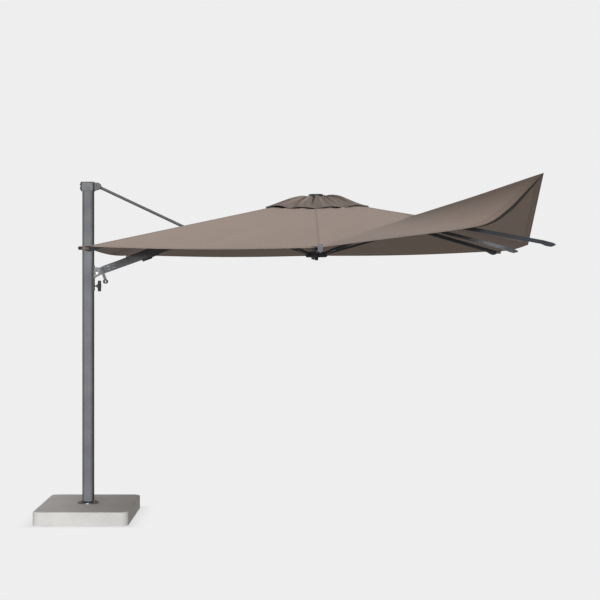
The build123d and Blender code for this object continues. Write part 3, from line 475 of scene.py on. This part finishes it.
def finish_cloth(obj, normals, cut, marks):
    """Writes the UVs in metres and the distances to hem and seam, smooths, and drops unused points."""
    mesh = obj.data
    layer = mesh.uv_layers.new(name="cut")
    for loop in mesh.loops:
        layer.data[loop.index].uv = cut[loop.vertex_index]
    attribute = mesh.attributes.new("marks", "FLOAT_VECTOR", "POINT")
    for k, value in enumerate(marks):
        attribute.data[k].vector = (*value, 0)
    mesh.polygons.foreach_set("use_smooth", [True] * len(mesh.polygons))
    mesh.normals_split_custom_set_from_vertices([tuple(n) for n in normals])
    loose = bmesh.new()
    loose.from_mesh(mesh)
    bmesh.ops.delete(loose, geom=[v for v in loose.verts if not v.link_faces], context="VERTS")
    loose.to_mesh(mesh)
    loose.free()
    mesh.materials.append(FABRIC)


def outside_slit(point):
    local = point - HUB
    middle, reach = (SLIT[0] + SLIT[1]) / 2, (SLIT[1] - SLIT[0]) / 2
    return ((local.x - middle) / reach) ** 2 + (local.y / SLIT[2]) ** 2 > 1


def seam_distance(point, index):
    """How far a point lies from the seam over the nearest rib."""
    nearest = 2 * round(index / 2)
    angle = math.radians(nearest * 22.5)
    flat = point - HUB
    return abs(flat.x * math.sin(angle) - flat.y * math.cos(angle))


def fold_with_rib(obj, name, edge=None):
    """The piece rides its rib; edge is its line away from the rib."""
    line = RIB_LINE[name]
    tip = regular(line, HALF)
    if edge is not None and name != "near_right":
        away = shape(edge, 1) - tip
    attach(obj, f"rib_{name}")
    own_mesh(obj)


def lay_on_rib(obj, name, edge=None):
    """A panel that lies on its rib rides that rib."""
    fold_with_rib(obj, name, edge)


def canopy_half(name, start, end, edge):
    """The cloth from a rib's seam to the line halfway to the next rib, or the other way round."""
    grid = lattice(start, end, surface, STEP_OUT, STEP_ROUND, spread)
    keep = outside_slit if "left" in name else None
    obj, normals, index_of, count = cloth_mesh(f"canvas_{name}_{'ab'[edge == end]}", grid, THICK, keep)
    cut, marks = [None] * 2 * count, [None] * 2 * count
    for (r, c), v in index_of.items():
        index = start + (end - start) * r / (len(grid) - 1)
        t = spread(index, c / STEP_OUT)
        point = grid[r][c][0]
        hem = (HALF - INNER) * (1 - t)
        along = (index - start) * HALF / 2 * (INNER + (HALF - INNER) * t) / HALF
        cut[v] = cut[v + count] = (along, (HALF - INNER) * t)
        seam = abs(index - 14) * HALF / 2 * t + 0.002 if 12 < index < 16 else seam_distance(point, index)
        marks[v] = marks[v + count] = (hem, seam)
    finish_cloth(obj, normals, cut, marks)
    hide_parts(f"canopy_{name}")
    lay_on_rib(obj, name, edge=edge)


for sector_name, (first, last) in SECTORS.items():
    canopy_half(sector_name, first, RIB_LINE[sector_name], first)
    canopy_half(sector_name, RIB_LINE[sector_name], last, last)

# ---------------------------------------------------------------- vent cap

VENT_HALF, VENT_HOLE, VENT_BOW, VENT_CLOSED = 0.362, 0.036, 0.13, 0.2
VENT_LIFT = [(VENT_HOLE, 0.023), (0.11, 0.029), (0.18, 0.025), (0.27, 0.014), (0.36, 0.0025), (0.5, 0.002)]


def vent_lift(half):
    for (a, low), (b, high) in zip(VENT_LIFT, VENT_LIFT[1:]):
        if half <= b:
            return low + (high - low) * (half - a) / (b - a)
    return VENT_LIFT[-1][1]


def vent_shape(index, t):
    """The cap over the vent: its sides bow out, and its hem arches up between the lines it lies on."""
    on_middle = math.cos(math.pi * index / 4) ** 2 if int((index % 16 + 2) / 4) % 4 != 2 else 0.0
    half = VENT_HOLE + (VENT_HALF - VENT_HOLE) * t * (1 + VENT_BOW * on_middle * t)
    point = regular(index, half)
    point.z = min(point.z, HUB.z + 0.004)
    uneven = 0.75 + 0.5 * noise.noise(Vector((index * 0.9, 0, 4)))
    arch = abs(math.sin(math.pi * index)) ** 0.8 * t ** 4 * uneven
    beside_fold = math.exp(-((index % 16 - 14.4) / 0.8) ** 2)
    right_fold = 0.013 * beside_fold * math.sin(math.pi * min(1, t * 1.2)) ** 2
    swirl = 2.4 * noise.noise(Vector((index * 0.8, t * 2.5, 3)))
    folds = 0.0062 * math.sin(index * 6.9 + swirl) + 0.0034 * math.sin(index * 17 + 2 * swirl)
    crease = folds * math.sin(math.pi * t ** 0.8)
    full = 0.006 * math.sin(math.pi * t)
    return point + UP * (vent_lift(half) + 0.021 * arch + right_fold + max(crease, -0.004) + full)


def vent_surface(index, t):
    gap = 0.02
    normal = (vent_shape(index, min(1, t + gap)) - vent_shape(index, max(0, t - gap))).cross(
        vent_shape(index + gap, t) - vent_shape(index - gap, t))
    normal.normalize()
    if normal.z < 0:
        normal.negate()
    return vent_shape(index, t), normal


VENT_STEPS = 26


def vent_sector(name, start, end):
    grid = lattice(start, end, vent_surface, VENT_STEPS, STEP_ROUND)
    obj, normals, index_of, count = cloth_mesh(f"vent_{name}", grid, THICK)
    cut, marks = [None] * 2 * count, [None] * 2 * count
    for (r, c), v in index_of.items():
        index = start + (end - start) * r / (len(grid) - 1)
        t = c / VENT_STEPS
        cut[v] = cut[v + count] = ((index - start) * VENT_HALF / 2 * t, VENT_HALF * t)
        hem = (VENT_HALF - VENT_HOLE) * (1 - t)
        marks[v] = marks[v + count] = (hem, seam_distance(grid[r][c][0], index))
    finish_cloth(obj, normals, cut, marks)
    obj.data.materials[0] = SHADED_VENT_FABRIC
    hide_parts("vent_cap")
    lay_on_rib(obj, name)


for sector_name, (first, last) in SECTORS.items():
    vent_sector(sector_name, first, last)

# ---------------------------------------------------------------- bindings, pockets and clips


TAPE_THICK = 0.0012


def strip(name, body, rows, normals, width, material=PAINTED_SHADOW_CLOTH, edge=None):
    """A narrow band of cloth: rows of points, with one normal for each row."""
    grid = [[(p, n) for p in row] for row, n in zip(rows, normals)]
    obj, normal_list, index_of, count = cloth_mesh(name, grid, TAPE_THICK)
    length = sum((b[0] - a[0]).length for a, b in zip(rows, rows[1:]))
    cut, marks = [None] * 2 * count, [(1.0, 1.0)] * 2 * count
    for (r, c), v in index_of.items():
        cut[v] = cut[v + count] = (length * r / (len(rows) - 1), width * c / max(len(rows[0]) - 1, 1))
    finish_cloth(obj, normal_list, cut, marks)
    obj.data.materials[0] = material
    fold_with_rib(obj, body, edge)


# Where the painted hem shadow runs along the lifted hem, in how many steps, and how wide.
HEM_SHADE_FROM, HEM_SHADE_SPAN, HEM_SHADE_STEPS = 0.40, 0.585, 30
HEM_SHADE_NARROW, HEM_SHADE_SWELL = 0.002, 0.019


def free_hem_shade_strip(name, start, end, body):
    """A near-black strip along the lifted hem, widest in the middle of its span: painted shadow of the gap
    between the hem and the panel behind it.
    """
    rows, normals = [], []
    for k in range(HEM_SHADE_STEPS + 1):
        share = start + (end - start) * k / HEM_SHADE_STEPS
        point, ahead, behind = free_hem(share), free_hem(min(1, share + 0.01)), free_hem(share - 0.01)
        run = (ahead - behind).normalized()
        aside = Vector((run.z, 0.15, -run.x)).normalized()
        swell = max(0.0, math.sin(math.pi * (share - HEM_SHADE_FROM) / HEM_SHADE_SPAN))
        wide = HEM_SHADE_NARROW + HEM_SHADE_SWELL * swell ** 0.9
        base = point + Vector((0, 0.004, -0.0005))
        rows.append([base + aside * wide * j / 3 for j in range(4)])
        normals.append(aside.cross(run).normalized())
    strip(name, body, rows, normals, HEM_SHADE_NARROW + HEM_SHADE_SWELL, edge=13)


# Painted shadow strips along the lifted hem, on the near and near-right pieces.
free_hem_shade_strip("hem_shade_strip_near", 0.405, 0.4999, "near")
free_hem_shade_strip("hem_shade_strip_near_right", 0.5001, 0.982, "near_right")


BINDING_ROWS, BINDING_STEPS = (0.0, 0.008, 0.016, 0.024), 24


def slit_binding(name, side, body):
    """Doubled cloth round the slot for the brace."""
    middle, reach = (SLIT[0] + SLIT[1]) / 2, (SLIT[1] - SLIT[0]) / 2
    rows, normals = [], []
    for k in range(BINDING_STEPS + 1):
        angle = math.pi * k / BINDING_STEPS
        row = []
        for grow in BINDING_ROWS:
            x = middle + (reach + grow) * math.cos(angle)
            y = side * (SLIT[2] + grow) * math.sin(angle)
            half = -x
            index = (8 + (-y / half) * 2) % 16
            point = regular(index, half)
            row.append(Vector((HUB.x + x, y, point.z + 0.0022)))
        rows.append(row)
        normals.append(UP.copy())
    strip(name, body, rows, normals, BINDING_ROWS[-1], material=FABRIC, edge=8)


slit_binding("slit_binding_near", -1, "near_left")
slit_binding("slit_binding_far", 1, "far_left")


def solid(name, build, material, body, smooth=True, bevel=0.003):
    """A piece with rounded edges that rides one body."""
    form = bmesh.new()
    build(form)
    mesh = bpy.data.meshes.new(name)
    form.to_mesh(mesh)
    form.free()
    mesh.materials.append(material)
    obj = bpy.data.objects.new(name, mesh)
    bpy.context.collection.objects.link(obj)
    if bevel:
        rounding = obj.modifiers.new("rounding", "BEVEL")
        rounding.width, rounding.segments, rounding.limit_method = bevel, 3, "ANGLE"
    for face in mesh.polygons:
        face.use_smooth = smooth
    if smooth:
        bpy.context.view_layer.objects.active = obj
        with bpy.context.temp_override(object=obj, active_object=obj, selected_editable_objects=[obj]):
            bpy.ops.object.shade_auto_smooth(angle=math.radians(35))
    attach(obj, body)


def boxes(*parts):
    """Boxes from (centre, sizes, axes)."""
    def build(form):
        for centre, size, axes in parts:
            made = bmesh.ops.create_cube(form, size=1)["verts"]
            for v in made:
                local = v.co.copy()
                turned = (Vector(axis) * part * side for axis, part, side in zip(axes, local, size))
                v.co = Vector(centre) + sum(turned, Vector())
    return build


AXES = ((1, 0, 0), (0, 1, 0), (0, 0, 1))


POCKET_REACHES = (-0.06, -0.045, -0.03, -0.015, 0, 0.01, 0.02, 0.03, 0.038)
POCKET_SIDES, POCKET_HALF = (-1, -0.5, 0, 0.5, 1), 0.034


def pocket_row(end, out, across, up, reach):
    """A row of points over the corner, which narrows and drops past the rib's end."""
    past = max(0, reach)
    return [end + out * reach + across * side * (POCKET_HALF - 0.12 * past) + up * (0.0035 - 4 * past ** 2)
            for side in POCKET_SIDES]


def tip_clip(name):
    """The clip at an attached rib's end, which holds the canopy's pocket."""
    corner = RIBS[name] % 90 == 45
    angle = math.radians(RIBS[name])
    out = Vector((math.cos(angle), math.sin(angle), 0))
    across = Vector((-math.sin(angle), math.cos(angle), 0))
    end = regular(RIB_LINE[name], HALF)
    up = Vector((0, 0, 1))
    if corner:
        rows = [pocket_row(end, out, across, up, reach) for reach in POCKET_REACHES]
        strip(f"pocket_{name}", name, rows, [up] * len(rows), 2 * POCKET_HALF, material=FABRIC)
        sleeve = (end + out * 0.008 - up * 0.011, (0.052, 0.046, 0.02), (out, across, up))
        point = (end + out * 0.037 - up * 0.011, (0.016, 0.034, 0.022), (out, across, up))
        solid(f"tip_sleeve_{name}", boxes(sleeve), CAP_NYLON, f"rib_{name}", bevel=0.006)
        solid(f"tip_clip_{name}", boxes(point), BLACK, f"rib_{name}", bevel=0.006)
    else:
        parts = [(end + out * 0.014 - up * 0.004, (0.022, 0.034, 0.052), (out, across, up)),
                 (end + out * 0.026 - up * 0.012, (0.01, 0.008, 0.05), (out, across, up))]
        solid(f"tip_clip_{name}", boxes(*parts), CLIP_PLASTIC, f"rib_{name}", bevel=0.004)


for rib_name in ("near_left", "near", "far_right", "far", "far_left"):
    tip_clip(rib_name)

# ---------------------------------------------------------------- small parts of the frame


def discs(*parts):
    """Discs along Y from (centre, radius, depth)."""
    def build(form):
        for centre, radius, depth in parts:
            made = bmesh.ops.create_cone(form, cap_ends=True, segments=36, depth=depth,
                                         radius1=radius, radius2=radius)
            for v in made["verts"]:
                v.co = Vector(centre) + Vector((v.co.x, v.co.z, -v.co.y))
    return build


FOOT_SCREWS, FOOT_SCREW_Y = ((0.054, 1.76), (0.054, 1.80), (0.078, 1.80)), 0.0312
RIVET_XS, RIVET_UPS, RIVET_Y = (0.15, 0.185), (0.012, -0.012), 0.0227
STOP_X = 0.42
HEAD_RIB_ZS = (2.392, 2.412, 2.432)
ARM_RUN = Vector((0.9415, 0, 0.337))
ARM_UP = Vector((-0.337, 0, 0.9415))


def arm_spot(x):
    return Vector((x, 0, 1.807 + (x - 0.122) * 0.3577))


def frame_details():
    for side, tag in ((-1, "near"), (1, "far")):
        screws = [((x, side * FOOT_SCREW_Y, z), 0.0042, 0.0026) for x, z in FOOT_SCREWS]
        solid(f"foot_screws_{tag}", discs(*screws), STEEL, "slider", bevel=0.0008)
        rivets = [(tuple(arm_spot(x) + ARM_UP * up + Vector((0, side * RIVET_Y, 0))), 0.004, 0.0024)
                  for x in RIVET_XS for up in RIVET_UPS]
        solid(f"arm_rivets_{tag}", discs(*rivets), STEEL, "arm", bevel=0.0008)
    arm_axes = (ARM_RUN, AXES[1], ARM_UP)
    under_arm = arm_spot(STOP_X)
    block = (under_arm - ARM_UP * 0.0345, (0.075, 0.03, 0.014), arm_axes)
    tongue = (under_arm - ARM_UP * 0.0305 + ARM_RUN * 0.06, (0.07, 0.026, 0.006), arm_axes)
    solid("rail_stop", boxes(block, tongue), BLACK, "arm", bevel=0.002)
    ribs = [((-0.0525, 0, z), (0.004, 0.07, 0.006), AXES) for z in HEAD_RIB_ZS]
    solid("head_ribs", boxes(*ribs), BLACK, "mast", bevel=0.0015)


frame_details()

# ---------------------------------------------------------------- light and stage


def lamp(name, kind, aim, power, **settings):
    light = bpy.data.lights.new(name, kind)
    light.energy = power
    for key, value in settings.items():
        setattr(light, key, value)
    obj = bpy.data.objects.new(name, light)
    bpy.context.collection.objects.link(obj)
    obj.rotation_euler = Vector(aim).to_track_quat("-Z", "Y").to_euler()
    return obj


def glow(name, darker=None):
    """Paper that shows one flat tone, a little darker where darker is high."""
    m = Nodes(name)
    paper, shade = (0.857, 0.857, 0.857), (0.70, 0.70, 0.705)
    colour = m.mix(darker(m), paper, shade) if darker else (*paper, 1)
    emission = m.add("ShaderNodeEmission", {"Color": colour})
    m.tree.links.new(emission.outputs[0], m.tree.nodes["Material Output"].inputs["Surface"])
    return m.material


def beside_slab(m):
    """Soft contact shade: high under and right beside the slab."""
    parts = m.add("ShaderNodeSeparateXYZ", {0: m.place()}).outputs
    reach = []
    for part, half in ((parts[0], 0.335), (parts[1], 0.49)):
        away = m.math("MAXIMUM", m.math("SUBTRACT", m.math("ABSOLUTE", part), half), 0.0)
        reach.append(m.math("MULTIPLY", away, away))
    distance = m.math("SQRT", m.math("ADD", *reach))
    return m.math("POWER", m.ramp(distance, 1.0, 0.0, 0.0, 0.16), 2.4)


def stage_mesh(name, material, build):
    form = bmesh.new()
    build(form)
    mesh = bpy.data.meshes.new(name)
    form.to_mesh(mesh)
    form.free()
    mesh.materials.append(material)
    obj = bpy.data.objects.new(name, mesh)
    bpy.context.collection.objects.link(obj)
    obj.visible_diffuse = obj.visible_glossy = obj.visible_transmission = obj.visible_shadow = False
    obj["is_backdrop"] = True
    return obj


def studio():
    world = bpy.data.worlds.new("studio")
    world.use_nodes = True
    world.node_tree.nodes["Background"].inputs[0].default_value = (0.30, 0.288, 0.28, 1)
    bpy.context.scene.world = world
    bpy.context.scene.view_settings.view_transform = "Standard"
    stage_mesh("studio_dome", glow("studio_paper"),
               lambda form: bmesh.ops.create_icosphere(form, subdivisions=3, radius=60))
    floor = stage_mesh("studio_floor", glow("floor_paper", beside_slab),
                       lambda form: bmesh.ops.create_circle(form, cap_ends=True, segments=48, radius=2.2))
    floor.location.z = -0.0015
    # The painted hem shadow strips are lit as cloth.
    cloth_names = ("canvas_", "vent_", "hem_shade_strip", "slit_", "pocket_")
    lit_cloth, lit_frame = bpy.data.collections.new("lit_cloth"), bpy.data.collections.new("lit_frame")
    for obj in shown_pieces():
        (lit_cloth if obj.name.startswith(cloth_names) else lit_frame).objects.link(obj)
    cloth_key = lamp("cloth_key", "SUN", (-0.656, 0.725, -0.209), 5.4, angle=math.radians(12))
    frame_key = lamp("frame_key", "SUN", (0.03, 0.998, -0.055), 2.05, angle=math.radians(6))
    frame_sky = lamp("frame_sky", "SUN", (-0.25, 0.1, -0.95), 1.1, angle=math.radians(50))
    frame_sky.light_linking.receiver_collection = lit_frame
    cloth_key.light_linking.receiver_collection = lit_cloth
    frame_key.light_linking.receiver_collection = lit_frame


studio()
